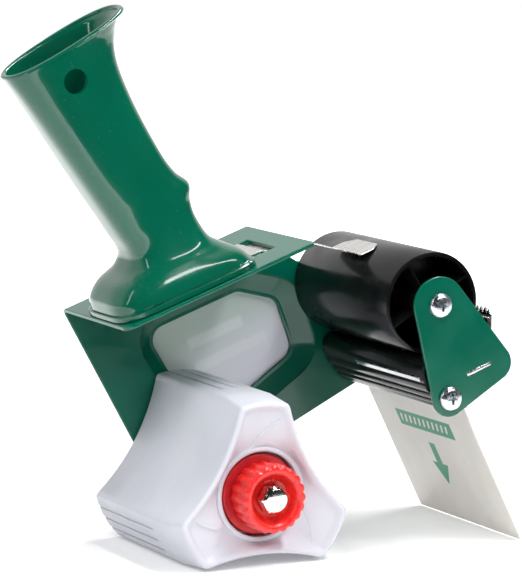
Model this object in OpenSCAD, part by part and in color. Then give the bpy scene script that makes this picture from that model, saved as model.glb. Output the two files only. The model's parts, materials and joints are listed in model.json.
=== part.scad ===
// Hand-held carton-sealing tape dispenser for rolls on a 76 mm core.
// Frame: the dispenser as it stands on a table, on two hub lobes and the tip of its wiper
// flap. +X points to the roller end, +Y to the side plate, +Z up. The origin is the middle
// of the footprint's box, on the table.

/* [Lean] */
// Angle by which the resting dispenser tips back
lean = 19.8; // [14:0.2:24]

/* [Side frame] */
// Thickness of the steel sheet
sheet = 1.5; // [1:0.1:2]
// Clear depth from the hub's front face to the side plate
bay_depth = 78; // [60:1:100]
// Length of the top plate
plate_len = 83.7; // [75:0.5:100]
// Width of the top plate, over the bend
plate_width = 60.8; // [50:0.5:74]
// Height of the top plate above the hub axle
plate_rise = 76.9; // [70:0.5:95]
// Overhang of the top plate behind the hub axle
plate_back = 23.9; // [18:0.5:30]
// Outer radius of the sheet's bend
bend_r = 2.4; // [2.2:0.1:5]
// Radius of the side plate around the hub axle
apex_r = 12; // [9:0.5:16]
// Depth of the pressed surround of the window
press_depth = 3; // [1:0.5:5]
// Thickness of the window panel
panel_t = 0.8; // [0.5:0.1:1.5]

/* [Hub] */
// Diameter over the lobes
hub_d = 75; // [70:0.5:80]
// Gap between the hub's far end and the side plate
hub_gap = 1; // [0.6:0.1:3]
// Half of the angle that a lobe's tip spans
lobe_half = 15.4; // [12:0.2:20]
// Distance from the axle to the middle of each web
web_reach = 22.3; // [21:0.1:26]
// Wall of the hub
hub_wall = 2.2; // [1.5:0.1:3]
// Length of the lobes' tapered lead-in
lead_len = 15; // [8:1:25]
// Drop of the lobe's tip over the lead-in
lead_drop = 1.9; // [1:0.1:3]
// Depth of the hollow in the hub's front face
face_depth = 8; // [5:0.5:10]

/* [Brake] */
// Diameter of the hub axle stud
stud_d = 6; // [5:0.5:8]
// Outer diameter of the sleeve that the hub turns on
sleeve_d = 10; // [9:0.5:14]
// Diameter of the pressure disc
disc_d = 31; // [27:0.5:33]
// Thickness of the pressure disc
disc_t = 2.5; // [2:0.1:3]
// Diameter of the knob
knob_d = 26.4; // [22:0.2:28]
// Height of the knob
knob_h = 13.3; // [11:0.1:16]
// Number of scallops around the knob
knob_flutes = 20; // [12:1:28]
// Free travel of the brake each way
brake_travel = 0.5; // [0.3:0.1:0.6]

/* [Roller] */
// Diameter of the roller
roller_d = 39.6; // [34:0.2:42]
// Gap between the roller's far end and the side plate
roller_gap = 0.4; // [0.4:0.1:3]
// Wall of the roller
roller_wall = 1.8; // [1.2:0.1:3]
// Number of spokes between the roller's wall and its axle boss
spoke_count = 4; // [3:1:6]
// Distance of the roller axis in front of the hub axle
roller_x = 90.2; // [88:0.2:110]
// Height of the roller axis above the hub axle
roller_z = 40.5; // [38:0.1:44]
// Outer diameter of the roller's axle tube
axle_d = 9; // [8:0.5:11]

/* [Front end] */
// Distance of the end plate's outer face in front of the hub's face
end_reach = 5.7; // [4.5:0.1:9]
// Distance of the tie rod in front of the hub axle
rod_x = 82.3; // [78:0.1:86]
// Height of the tie rod above the hub axle
rod_z = 4.9; // [3:0.1:7]
// Diameter of the tie rod
rod_d = 6; // [5:0.5:7]
// Diameter of the plate screws' thread
screw_d = 4; // [3.5:0.1:4.4]
// Diameter of the plate screws' heads
screw_head_d = 9.5; // [8:0.1:10]
// Thickness of the blade bracket
bracket_t = 1.4; // [1:0.1:1.6]
// Thickness of the blade
blade_t = 0.8; // [0.5:0.1:1]
// Pitch of the blade's teeth
tooth_pitch = 3; // [2:0.25:4]
// Height of the blade's teeth
tooth_h = 2.4; // [1.5:0.1:3]
// Overhang of the wiper flap past each side of the bay
flap_over = 1; // [0:0.1:1.4]
// Thickness of the wiper flap
flap_t = 0.8; // [0.5:0.1:1.2]
// Angle of the flap from the frame's own vertical
flap_tilt = 6.3; // [0:0.1:8]

/* [Tape leaf] */
// Width of the leaf's tab
leaf_w = 25; // [18:1:28]
// Thickness of the leaf
leaf_t = 0.5; // [0.4:0.05:0.7]
// Length of the tab that lies on the roller
tab_len = 10; // [7:0.5:12]
// Distance of the leaf's middle from the side plate
leaf_inset = 36; // [32:0.5:40]

/* [Handle] */
// Length of the handle's foot
foot_len = 61.4; // [55:0.2:66]
// Width of the handle's foot
foot_w = 43; // [38:0.5:46]
// Width of the handle's tube
grip_w = 28; // [25:0.5:34]
// Height of the handle's tube at the rear of its mouth
grip_h = 101; // [80:1:125]
// Wall of the handle
grip_wall = 2.4; // [2:0.1:3]
// Diameter of the hole for hanging
hang_d = 9.4; // [8:0.1:11]

/* [Hidden] */
$fn = 96;

// Clearances: a running fit, a fixed fit, and the gap between bodies that only pass
run_gap = 0.06;
fix_gap = 0.08;
part_gap = 0.35;
// Overlap of a cutting tool past the face that it cuts
cut = 1;
// Depth by which an outline's straight edges start inside its corner circles
seam = 0.003;

// Side frame
side_y = bay_depth + sheet;
plate_near = side_y - plate_width;
plate_front = plate_len - plate_back;
plate_under = plate_rise - sheet;
neck = [roller_x - 19.2, roller_z + 5.9, 9];
rod_boss_r = 7.2;
roller_boss_r = 11;
window_mid = [36.5, 32];
window_r = 6;
window_lip = 1.5;
band_w = 8.5;
band_shift = 1.5;

// Handle, in distances along the top plate and above it
foot_back = 0.7 - plate_back;
foot_mid_y = side_y - 38;
foot_flange = 2.5;
screw_span = 32;
hang_along = 15.4;
hang_up = grip_h - 9.2;
ring_n = 28;
ring_steps = 2;

// Hub and brake, in distances from the hub's front face
hub_r = hub_d / 2;
hub_len = bay_depth - hub_gap;
floor_z = -hub_r * sin(30 + lobe_half);
web_chord = hub_r * cos(60 - lobe_half);
web_half = hub_r * sin(60 - lobe_half);
web_c = (web_chord^2 + web_half^2 - web_reach^2) / (2 * (web_chord - web_reach));
collar_r = disc_d / 2 + 0.8;
collar_wall = 2;
pocket_depth = face_depth + 2.6;
hub_boss_r = sleeve_d / 2 + 3;
disc_front = 5.3;
disc_back = disc_front + disc_t;
knob_back = disc_front - part_gap;
knob_front = knob_back - knob_h;
dish_floor = knob_front + 5;
dish_r = knob_d / 2 - 3.6;
insert_af = 10;
nut_af = 10;
nut_t = 5;
nut_front = dish_floor - 2 * brake_travel - nut_t;
spring_t = 1.4;
washer_t = 1.2;
stud_back = side_y + washer_t + nut_t + 1.5;

// Roller and front end
roller_near = 0.8;
roller_far = bay_depth - roller_gap;
boss_sink = 0.5;
boss_sink_far = 2;
axle_r = axle_d / 2;
end_y = -end_reach;
end_in = end_y + sheet;
plate_gap = bay_depth - end_in;
guide_r = 5.5;
guide_gap = 0.6;
guide_side = -113.6;
guide_c = [roller_x, roller_z]
    + (roller_d / 2 + guide_r + guide_gap) * [cos(guide_side), sin(guide_side)];
guide_foot_r = rod_d / 2 + 1.6;
flange_x = rod_x + guide_foot_r + 2.4;
base_z = rod_z + 4.8;
blade_angle = 20.6;
blade_gap = 3.7;
base_front = roller_x
    + (roller_d / 2 + blade_gap - (roller_z - base_z) * sin(blade_angle)) / cos(blade_angle);
nose = [base_front + 1.6, rod_z + 4.7, 7];
flange_low = rod_z - 6.4;
wing_len = 18;
tab_near = base_front - 11.4;
tab_wide = 11;
blade_tip = 21.5;
rail_t = 1;
rail_low = flange_low - 1;
rail_top = rod_z + 1.5;
rivet_y = [for (side = [-1:1]) bay_depth / 2 - 1 + side * bay_depth / 3];
flap_top = rail_low - 0.3;
flap_x = flange_x - rail_t;

// Tape leaf
leaf_y = bay_depth - leaf_inset;
tab_z = roller_z + roller_d / 2 + part_gap;
tab_back = roller_x - tab_len + 1;
clip_gap = 0.1;
clip_y = leaf_y + 5;
clip_w = leaf_w - 3;
slot_back = plate_front - 15.8;
slot_len = 6.5;
tongue_root = plate_front + 1.2;
tongue_top = plate_under - clip_gap - leaf_t;

// The standing dispenser's box gives the origin
flap_drop = (floor_drop(flap_x, flap_top) - floor_z) / cos(flap_tilt + lean);
tip = [flap_x + flap_drop * sin(flap_tilt), flap_top - flap_drop * cos(flap_tilt)];
mouth_rear = [foot_back - 6, plate_rise + grip_h];
x_low = mouth_rear[0] * cos(lean) - mouth_rear[1] * sin(lean);
x_high = (tip[0] + flap_t * cos(flap_tilt)) * cos(lean) - tip[1] * sin(lean);
origin = [-(x_low + x_high) / 2, -(nut_front + stud_back) / 2, -floor_z];

green = [0.0, 0.37, 0.27];
red = [0.88, 0.13, 0.12];
steel = [0.75, 0.76, 0.78];

function floor_drop(x, z) = x * sin(lean) + z * cos(lean);

// Ends of the straight edge that touches two corner circles [x, y, r], outside on its right
function edge(a, b) =
    let (d = norm([b[0] - a[0], b[1] - a[1]]), p = max(a[2] - seam, 0), q = max(b[2] - seam, 0))
    let (t = atan2(b[1] - a[1], b[0] - a[0]) - 90 + asin((p - q) / d))
    [[a[0] + p * cos(t), a[1] + p * sin(t)], [b[0] + q * cos(t), b[1] + q * sin(t)]];

// Convex outline with round corners, listed anticlockwise
module outline(corners) {
    n = len(corners);
    polygon([for (i = [0:n - 1]) each edge(corners[i], corners[(i + 1) % n])]);
    for (c = corners) if (c[2] > 0) translate([c[0], c[1]]) circle(r = c[2]);
}

// Draw an x-z outline and give it depth along y
module along_y(y, depth) {
    translate([0, y + depth, 0]) rotate([90, 0, 0]) linear_extrude(depth) children();
}

// Draw a y-z outline and give it length along x
module along_x(x, length) {
    translate([x, 0, 0]) rotate([90, 0, 90]) linear_extrude(length) children();
}

// Cylinder along y at [x, z]
module rod_y(at, r, y0, y1) {
    translate([at[0], y1, at[1]]) rotate([90, 0, 0]) cylinder(r = r, h = y1 - y0);
}

// Place what stands square to the table, and what leans with the frame
module upright() {
    translate(origin) children();
}

module leaned() {
    translate(origin) rotate([0, -lean, 0]) children();
}

// ---- Side frame ----

function grown(corners, by, shift = 0) = [for (c = corners) [c[0] + shift, c[1], c[2] + by]];

window_corners = [
    [window_mid[0] - 23, window_mid[1] + 15, window_r],
    [window_mid[0] - 16, window_mid[1] - 17, window_r],
    [window_mid[0] + 20.5, window_mid[1] - 7, window_r],
    [window_mid[0] + 20.5, window_mid[1] + 8, window_r],
    [window_mid[0] + 10, window_mid[1] + 15, window_r]
];

module pressing() {
    hull() {
        along_y(bay_depth, sheet) outline(grown(window_corners, band_w, band_shift), $fn = 32);
        along_y(bay_depth + press_depth, sheet) outline(grown(window_corners, window_lip), $fn = 32);
    }
}

module side_outline() {
    outline([
        [-plate_back, plate_rise - bend_r, 0], [0, 0, apex_r], [rod_x, rod_z, rod_boss_r],
        neck, [plate_front, plate_rise - bend_r, 0]
    ]);
    outline([[rod_x, rod_z, rod_boss_r], nose, [roller_x, roller_z, roller_boss_r], neck]);
}

module bent_sheet() {
    along_x(-plate_back, plate_len) {
        translate([side_y - bend_r, plate_rise - bend_r]) intersection() {
            difference() {
                circle(r = bend_r);
                circle(r = bend_r - sheet);
            }
            square(bend_r);
        }
    }
    translate([0, 0, plate_under]) linear_extrude(sheet) outline([
        [-plate_back + 4, plate_near + 4, 4], [plate_front - 2, plate_near + 2, 2],
        [plate_front, side_y - bend_r, 0], [-plate_back, side_y - bend_r, 0]
    ]);
    along_y(bay_depth, sheet) side_outline();
}

module tab_slot(clear) {
    translate([tab_near - clear, base_z - clear])
        square([tab_wide + 2 * clear, bracket_t + 2 * clear]);
}

module frame() {
    color(green) leaned() difference() {
        union() {
            difference() {
                bent_sheet();
                along_y(bay_depth - cut, sheet + 2 * cut)
                    outline(grown(window_corners, band_w - 0.5, band_shift));
            }
            difference() {
                pressing();
                translate([0, -sheet, 0]) pressing();
            }
        }
        along_y(bay_depth - cut, press_depth + sheet + 2 * cut) outline(window_corners);
        rod_y([0, 0], stud_d / 2 + fix_gap, bay_depth - cut, side_y + cut);
        rod_y([roller_x, roller_z], screw_d / 2 + fix_gap, bay_depth - cut, side_y + cut);
        rod_y([rod_x, rod_z], screw_d / 2 + fix_gap, bay_depth - cut, side_y + cut);
        along_y(bay_depth - cut, sheet + 2 * cut) tab_slot(fix_gap);
        translate([slot_back, clip_y - clip_w / 2 - 1.5, plate_under - cut])
            cube([slot_len, clip_w + 3, sheet + 2 * cut]);
        for (x = screw_places) translate([x, foot_mid_y, plate_under - cut])
            cylinder(r = screw_d / 2 + fix_gap, h = sheet + 2 * cut);
    }
}

module window_panel() {
    color([0.82, 0.85, 0.86, 0.8]) leaned()
        along_y(side_y + press_depth, panel_t) outline(grown(window_corners, window_lip - 0.2));
}

// ---- Handle ----

screw_places = [for (side = [-1, 1]) foot_back + foot_len / 2 + side * screw_span / 2];

// Stations of the handle: rear [along, up], front [along, up], half width, squareness
stretch = grip_h / 101;
foot_stations = [
    [[0.6, foot_flange], [foot_len - 0.8, foot_flange], foot_w / 2 - 0.7, 4.2],
    [[1.2, 7], [foot_len - 3.4, 7], foot_w / 2 - 1.4, 4],
    [[5.2, 11.8], [foot_len - 9, 12], foot_w / 2 - 3.4, 3.4],
    [[13, 15.2], [foot_len - 12.6, 16.4], grip_w / 2 + 2.2, 3]
];
grip_stations = [
    [[16.5, 20.4], [46.5, 25], grip_w / 2 + 0.4, 3.2],
    [[14.6, 28.6], [46.6, 31.4], grip_w / 2, 3.4],
    [[12.5, 36.5], [48.3, 37.6], grip_w / 2, 3.4],
    [[10.6, 43], [44.3, 43.8], grip_w / 2, 3.4],
    [[7.8, 53], [41.2, 53.4], grip_w / 2, 3.4],
    [[2, 74], [37.8, 74.6], grip_w / 2, 3],
    [[-2.5, 90], [37.3, 92], grip_w / 2, 2.7],
    [[-5.2, 98.6], [41, 102.6], grip_w / 2 + 0.6, 2.4],
    [[-6, 101], [46.8, 109.8], grip_w / 2 + 1.2, 2.4]
];
stations = concat(
    foot_stations,
    [for (s = grip_stations) [[s[0][0], s[0][1] * stretch], [s[1][0], s[1][1] * stretch], s[2], s[3]]]
);

// Point on a smooth curve through the stations, t from 0 to the last station
function blend4(a, b, c, d, t) =
    b + (c - a) * t / 2 + (2 * a - 5 * b + 4 * c - d) * t^2 / 2 + (3 * b - a - 3 * c + d) * t^3 / 2;
function at(i) = stations[max(0, min(len(stations) - 1, i))];
function station(t) =
    let (i = min(floor(t), len(stations) - 2), f = t - i)
    [for (k = [0:3]) blend4(at(i - 1)[k], at(i)[k], at(i + 1)[k], at(i + 2)[k], f)];

// One closed ring around a station, drawn in by the given wall
function ring(s, wall) =
    let (mid = (s[0] + s[1]) / 2, half = (s[1] - s[0]) / 2, shrink = 1 - wall / norm(half))
    [for (k = [0:ring_n - 1])
        let (a = 360 * k / ring_n, c = cos(a), q = sin(a), p = 2 / s[3])
        let (u = sign(c) * abs(c)^p * shrink, v = sign(q) * abs(q)^p)
        [foot_back + mid[0] + half[0] * u, foot_mid_y + v * (s[2] - wall),
            plate_rise + mid[1] + half[1] * u]];

module tube(rings) {
    last = len(rings) - 1;
    polyhedron(
        points = [for (r = rings) each r],
        faces = concat(
            [[for (k = [0:ring_n - 1]) k]],
            [for (i = [0:last - 1], k = [0:ring_n - 1]) each [
                [i * ring_n + k, (i + 1) * ring_n + (k + 1) % ring_n, i * ring_n + (k + 1) % ring_n],
                [i * ring_n + k, (i + 1) * ring_n + k, (i + 1) * ring_n + (k + 1) % ring_n]
            ]],
            [[for (k = [ring_n - 1:-1:0]) last * ring_n + k]]
        )
    );
}

module handle() {
    steps = ring_steps * (len(stations) - 1);
    outer = [for (i = [0:steps]) ring(station(i / ring_steps), 0)];
    inner = [for (i = [steps:-1:1]) ring(station(i / ring_steps), grip_wall)];
    color(green) leaned() difference() {
        union() {
            tube(concat(outer, inner));
            translate([0, 0, plate_rise]) linear_extrude(foot_flange) outline([
                for (c = [[0, -1], [1, -1], [1, 1], [0, 1]])
                [foot_back + 9 + c[0] * (foot_len - 18), foot_mid_y + c[1] * (foot_w / 2 - 9), 9]
            ]);
            for (x = screw_places) translate([x, foot_mid_y, plate_rise + foot_flange - 0.5])
                cylinder(r = 4.5, h = 11);
        }
        for (x = screw_places) translate([x, foot_mid_y, plate_rise - cut])
            cylinder(r = screw_d / 2 + fix_gap, h = cut + 10);
        rod_y([foot_back + hang_along, plate_rise + hang_up], hang_d / 2,
            foot_mid_y - grip_w, foot_mid_y + grip_w);
    }
}

// Pan head with a cross recess; the head's flat lies at z = 0 and the shank runs up
module pan_screw(length) {
    head_h = 2.6;
    difference() {
        union() {
            cylinder(r = screw_d / 2, h = length);
            intersection() {
                translate([0, 0, -head_h]) cylinder(r = screw_head_d / 2, h = head_h);
                translate([0, 0, screw_head_d - head_h]) sphere(r = screw_head_d);
            }
        }
        for (turn = [0, 90]) rotate([0, 0, turn])
            translate([-2.2, -0.45, -head_h - cut]) cube([4.4, 0.9, cut + 1.3]);
    }
}

module handle_screws() {
    color(steel) leaned() for (x = screw_places)
        translate([x, foot_mid_y, plate_under]) pan_screw(10);
}

// ---- Tape leaf ----

module leaf_clip() {
    top = plate_rise + clip_gap;
    color(steel) leaned() {
        along_y(clip_y - clip_w / 2, clip_w) polygon([
            [slot_back - 5, top], [slot_back + 1, top], [slot_back + 4.2, tongue_top],
            [tongue_root - part_gap, tongue_top], [tongue_root - part_gap, tongue_top + leaf_t],
            [slot_back + 4.6, tongue_top + leaf_t], [slot_back + 1.4, top + leaf_t],
            [slot_back - 5, top + leaf_t]
        ]);
    }
}

module leaf_tongue() {
    color(steel) leaned() difference() {
        along_y(leaf_y - leaf_w / 2, leaf_w) polygon([
            [tongue_root, tongue_top], [tab_back, tab_z], [tab_back + tab_len, tab_z],
            [tab_back + tab_len, tab_z + leaf_t], [tab_back + 0.2, tab_z + leaf_t],
            [tongue_root + 0.2, tongue_top + leaf_t], [tongue_root, tongue_top + leaf_t]
        ]);
        for (side = [-1, 1]) translate([tab_back + tab_len, leaf_y + side * leaf_w / 2, tab_z - cut])
            rotate([0, 0, 45]) translate([-3, -3, 0]) cube([6, 6, leaf_t + 2 * cut]);
    }
}

// ---- Hub ----

module lobes(r, inset) {
    difference() {
        circle(r = r);
        for (k = [0:2]) rotate(30 + 120 * k)
            translate([web_c, 0]) circle(r = web_c - web_reach + inset);
    }
}

module hub_envelope(inset) {
    rotate([-90, 0, 0]) rotate_extrude() polygon([
        [0, 0], [hub_r - lead_drop - inset, 0], [hub_r - inset, lead_len],
        [hub_r - inset, hub_len], [0, hub_len]
    ]);
}

module hub() {
    color([0.88, 0.89, 0.92]) upright() difference() {
        union() {
            difference() {
                intersection() {
                    along_y(0, hub_len) lobes(hub_r, 0);
                    hub_envelope(0);
                }
                intersection() {
                    along_y(-cut, face_depth + cut) lobes(hub_r, hub_wall);
                    hub_envelope(hub_wall);
                }
                along_y(pocket_depth + 2.5, hub_len) lobes(hub_r - hub_wall, hub_wall);
            }
            rod_y([0, 0], collar_r + collar_wall, 4, face_depth);
            for (k = [0:2]) rotate([0, -120 * k, 0]) {
                intersection() {
                    along_y(3, face_depth - 2.5) lobes(hub_r - lead_drop - 0.5, 0.5);
                    difference() {
                        rod_y([18, 6], 25.4, 3, face_depth + 1);
                        rod_y([18, 6], 24, 2, face_depth + 2);
                        translate([-60, 0, -120]) cube([120, 20, 120]);
                    }
                }
                translate([-0.8, pocket_depth, 0]) cube([1.6, hub_len - pocket_depth - 2, hub_r - 1]);
            }
            rod_y([0, 0], hub_boss_r, pocket_depth, hub_len);
        }
        rod_y([0, 0], collar_r, -cut, pocket_depth);
        rod_y([0, 0], sleeve_d / 2 + run_gap, 0, hub_len + cut);
        for (k = [0:2], g = [-1, 0, 1]) rotate([0, -120 * k, 0])
            translate([g * 5 - 0.5, hub_len * 0.35, hub_r - 0.45]) cube([1, hub_len, 3]);
    }
}

module hub_sleeve() {
    color(steel) upright() difference() {
        rod_y([0, 0], sleeve_d / 2, pocket_depth + 0.1, bay_depth);
        rod_y([0, 0], stud_d / 2 + fix_gap, 0, side_y);
    }
}

module axle_stud() {
    color(steel) upright() rod_y([0, 0], stud_d / 2, nut_front + 1, stud_back);
}

module hex_y(af, y0, y1) {
    intersection() {
        along_y(y0, y1 - y0) circle(r = af / sqrt(3), $fn = 6);
        rotate([-90, 0, 0]) rotate_extrude() polygon([
            [0, y0], [af / 2 - 0.3, y0], [af / 2 + 0.9, y0 + 0.8], [af / 2 + 0.9, y1], [0, y1]
        ]);
    }
}

module stop_nut() {
    color(steel) upright() difference() {
        hex_y(nut_af, nut_front, nut_front + nut_t);
        rod_y([0, 0], stud_d / 2 + fix_gap, nut_front + 1, nut_front + nut_t + cut);
    }
}

module axle_washer() {
    color(steel) upright() difference() {
        rod_y([0, 0], stud_d, side_y, side_y + washer_t);
        rod_y([0, 0], stud_d / 2 + fix_gap, bay_depth, side_y + washer_t + cut);
    }
}

module axle_nut() {
    start = side_y + washer_t;
    color(steel) upright() difference() {
        translate([0, 2 * start + nut_t, 0]) mirror([0, 1, 0]) hex_y(nut_af, start, start + nut_t);
        rod_y([0, 0], stud_d / 2 + fix_gap, start - cut, start + nut_t + cut);
    }
}

// ---- Brake ----

module tension_knob() {
    flute_r = knob_d * 0.075;
    color(red) upright() difference() {
        union() {
            rotate([-90, 0, 0]) rotate_extrude() polygon([
                [0, knob_front + 0.8], [dish_r, knob_front + 0.8], [dish_r + 1, knob_front],
                [knob_d / 2 - 1, knob_front], [knob_d / 2, knob_front + 1],
                [knob_d / 2, knob_back - 1.5], [0, knob_back - 1.5]
            ]);
            rod_y([0, 0], knob_d / 2 - 1.4, knob_back - 2, knob_back);
        }
        rotate([-90, 0, 0]) rotate_extrude() polygon([
            [0, knob_front - cut], [dish_r + 0.6, knob_front - cut], [dish_r, knob_front + 0.9],
            [dish_r - 2.4, dish_floor], [0, dish_floor]
        ]);
        for (k = [0:knob_flutes - 1]) rotate([0, 360 * k / knob_flutes, 0])
            rod_y([knob_d / 2 + flute_r * 0.62, 0], flute_r, knob_front - cut, knob_back - 1.5, $fn = 24);
        along_y(dish_floor + 1.2, knob_h) circle(r = insert_af / sqrt(3) + fix_gap, $fn = 6);
        rod_y([0, 0], stud_d / 2 + 0.5, dish_floor - cut, knob_back + cut);
    }
}

module knob_insert() {
    color([0.80, 0.65, 0.35]) upright() difference() {
        along_y(dish_floor + 1.3, knob_back - dish_floor - 1.5) circle(r = insert_af / sqrt(3), $fn = 6);
        rod_y([0, 0], stud_d / 2 + run_gap, dish_floor, knob_back + cut);
    }
}

module pressure_disc() {
    color([0.72, 0.13, 0.17]) upright() difference() {
        rotate([-90, 0, 0]) rotate_extrude() polygon([
            [0, disc_front], [disc_d / 2 - 0.6, disc_front], [disc_d / 2, disc_front + 0.6],
            [disc_d / 2, disc_back], [0, disc_back]
        ]);
        rod_y([0, 0], stud_d / 2 + run_gap, 0, disc_back + cut);
    }
}

module brake_spring() {
    color(steel) upright() difference() {
        rod_y([0, 0], hub_boss_r + 2.5, pocket_depth - spring_t - 0.1, pocket_depth - 0.1);
        rod_y([0, 0], stud_d / 2 + 0.3, 0, pocket_depth + cut);
    }
}

// ---- Roller ----

module roller() {
    r = roller_d / 2;
    boss_r = axle_r + 2.2;
    at = [roller_x, roller_z];
    color([0.07, 0.07, 0.08]) leaned() difference() {
        union() {
            difference() {
                rod_y(at, r, roller_near, roller_far);
                rod_y(at, r - roller_wall, roller_near - cut, bay_depth + cut);
            }
            rod_y(at, boss_r, roller_near + boss_sink, roller_far - boss_sink_far);
            for (k = [1:spoke_count]) translate([roller_x, 0, roller_z])
                rotate([0, 360 / spoke_count * k - 10, 0])
                translate([boss_r - 0.5, roller_near + 2, -0.6])
                    cube([r - roller_wall - boss_r + 1, roller_far - roller_near - 5, 1.2]);
        }
        rod_y(at, axle_r + run_gap, roller_near - cut, bay_depth + cut);
    }
}

module roller_axle() {
    color(steel) leaned() difference() {
        rod_y([roller_x, roller_z], axle_r, end_in, bay_depth);
        for (y = [end_in - cut, bay_depth - 13])
            rod_y([roller_x, roller_z], screw_d / 2 + fix_gap, y, y + 13 + cut);
    }
}

module roller_washers() {
    near = roller_near + boss_sink - part_gap - washer_t;
    far = roller_far - boss_sink_far + part_gap;
    color(steel) leaned() for (y = [near, far]) difference() {
        rod_y([roller_x, roller_z], axle_r + 2.5, y, y + washer_t);
        rod_y([roller_x, roller_z], axle_r + fix_gap, y - cut, y + washer_t + cut);
    }
}

// ---- Front end ----

module end_plate() {
    color(green) leaned() difference() {
        along_y(end_y, sheet)
            outline([[rod_x, rod_z, rod_boss_r], nose, [roller_x, roller_z, roller_boss_r]]);
        for (at = [[roller_x, roller_z], [rod_x, rod_z]])
            rod_y(at, screw_d / 2 + fix_gap, end_y - cut, end_in + cut);
        along_y(end_y - cut, sheet + 2 * cut) tab_slot(fix_gap);
    }
}

module plate_screws() {
    color(steel) leaned() for (at = [[roller_x, roller_z], [rod_x, rod_z]]) {
        translate([at[0], end_y, at[1]]) rotate([-90, 0, 0]) pan_screw(12);
        translate([at[0], side_y, at[1]]) rotate([90, 0, 0]) pan_screw(12);
    }
}

module tie_rod() {
    color([0.8, 0.82, 0.85]) leaned() difference() {
        rod_y([rod_x, rod_z], rod_d / 2, end_in, bay_depth);
        for (y = [end_in - cut, bay_depth - 13])
            rod_y([rod_x, rod_z], screw_d / 2 + fix_gap, y, y + 13 + cut);
    }
}

module guide_bar() {
    bar_len = plate_gap - 0.4;
    color([0.08, 0.09, 0.09]) leaned() difference() {
        along_y(end_in + 0.2, bar_len) {
            outline([[guide_c[0], guide_c[1], guide_r], [rod_x, rod_z, guide_foot_r]]);
        }
        rod_y([rod_x, rod_z], rod_d / 2 + fix_gap, end_in - cut, bay_depth + cut);
        along_y(end_in - cut, plate_gap + 2 * cut) translate([guide_c[0], guide_c[1]])
            circle(r = guide_r - 1.8);
    }
}

// Bent strip with the flap's flange, a base with tabs into both plates, and the blade's slope
module blade_bracket() {
    t = bracket_t;
    slope = [sin(blade_angle), cos(blade_angle)];
    knee = [base_front, base_z];
    color([0.7, 0.71, 0.73]) leaned() difference() {
        union() {
            along_y(end_in + 0.2, plate_gap - 0.4) {
                translate([flange_x, flange_low]) square([t, base_z + t - flange_low]);
                translate([flange_x, base_z]) square([base_front - flange_x, t]);
                polygon([
                    knee, knee + wing_len * slope, knee + wing_len * slope + t * [-slope[1], slope[0]],
                    knee + t * [-slope[1], slope[0]] + [0, 0.5], knee + [-t, 0]
                ]);
            }
            along_y(end_y + 0.1, side_y - end_y - 0.2) tab_slot(0);
        }
        for (y = rivet_y) {
            translate([flange_x - cut, y, rod_z - 2]) rotate([0, 90, 0])
                cylinder(r = 1.5, h = t + 2 * cut);
            translate([base_front, y, base_z]) rotate([0, blade_angle, 0])
                translate([-4, 0, 11]) rotate([0, 90, 0]) cylinder(r = 1.5, h = 8);
        }
    }
}

module blade() {
    width = plate_gap - 2;
    count = floor(width / tooth_pitch);
    color([0.82, 0.83, 0.85]) leaned() translate([base_front, 0, base_z]) rotate([0, blade_angle, 0])
        difference() {
            translate([0.05, 0, 0]) along_x(0, blade_t) polygon(concat(
                [[end_in + 1, 5], [end_in + 1 + count * tooth_pitch, 5]],
                [for (k = [count:-1:1]) each [
                    [end_in + 1 + k * tooth_pitch, blade_tip - tooth_h],
                    [end_in + 1 + (k - 0.5) * tooth_pitch, blade_tip]
                ]],
                [[end_in + 1, blade_tip - tooth_h]]
            ));
            for (y = rivet_y) translate([-cut, y, 11]) rotate([0, 90, 0]) cylinder(r = 1.5, h = 4);
        }
}

module blade_rivets() {
    grip = bracket_t + blade_t + 0.2;
    color(steel) leaned() translate([base_front, 0, base_z]) rotate([0, blade_angle, 0])
        for (y = rivet_y) translate([-bracket_t - 0.1, y, 11]) rotate([0, 90, 0]) {
            cylinder(r = 1.44, h = grip);
            translate([0, 0, -0.8]) cylinder(r = 2.6, h = 0.8);
            translate([0, 0, grip]) cylinder(r = 2.6, h = 0.8);
        }
}

module film_rail() {
    color([0.86, 0.87, 0.85]) leaned() difference() {
        along_y(end_in + 0.5, plate_gap - 1) translate([flange_x - rail_t, rail_low])
            square([rail_t, rail_top - rail_low]);
        for (y = rivet_y) translate([flange_x - rail_t - cut, y, rod_z - 2]) rotate([0, 90, 0])
            cylinder(r = 1.5, h = rail_t + 2 * cut);
    }
}

module rail_rivets() {
    grip = bracket_t + rail_t;
    color(steel) leaned() for (y = rivet_y)
        translate([flange_x - rail_t, y, rod_z - 2]) rotate([0, 90, 0]) {
            cylinder(r = 1.44, h = grip);
            translate([0, 0, -0.5]) cylinder(r = 2.4, h = 0.5);
            translate([0, 0, grip]) cylinder(r = 2.4, h = 0.8);
        }
}

module film_flap() {
    color([0.85, 0.87, 0.85, 0.9]) leaned()
        translate([flap_x, -flap_over, flap_top]) rotate([0, -flap_tilt, 0])
            translate([0, 0, -flap_drop]) cube([flap_t, bay_depth + 2 * flap_over, flap_drop]);
}

frame();
window_panel();
handle();
handle_screws();
leaf_clip();
leaf_tongue();
hub();
hub_sleeve();
axle_stud();
stop_nut();
axle_washer();
axle_nut();
tension_knob();
knob_insert();
pressure_disc();
brake_spring();
roller();
roller_axle();
roller_washers();
end_plate();
plate_screws();
tie_rod();
guide_bar();
blade_bracket();
blade();
blade_rivets();
film_rail();
rail_rivets();
film_flap();
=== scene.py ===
import json
import math

import bmesh
import bpy
from mathutils import Matrix, Vector


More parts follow.
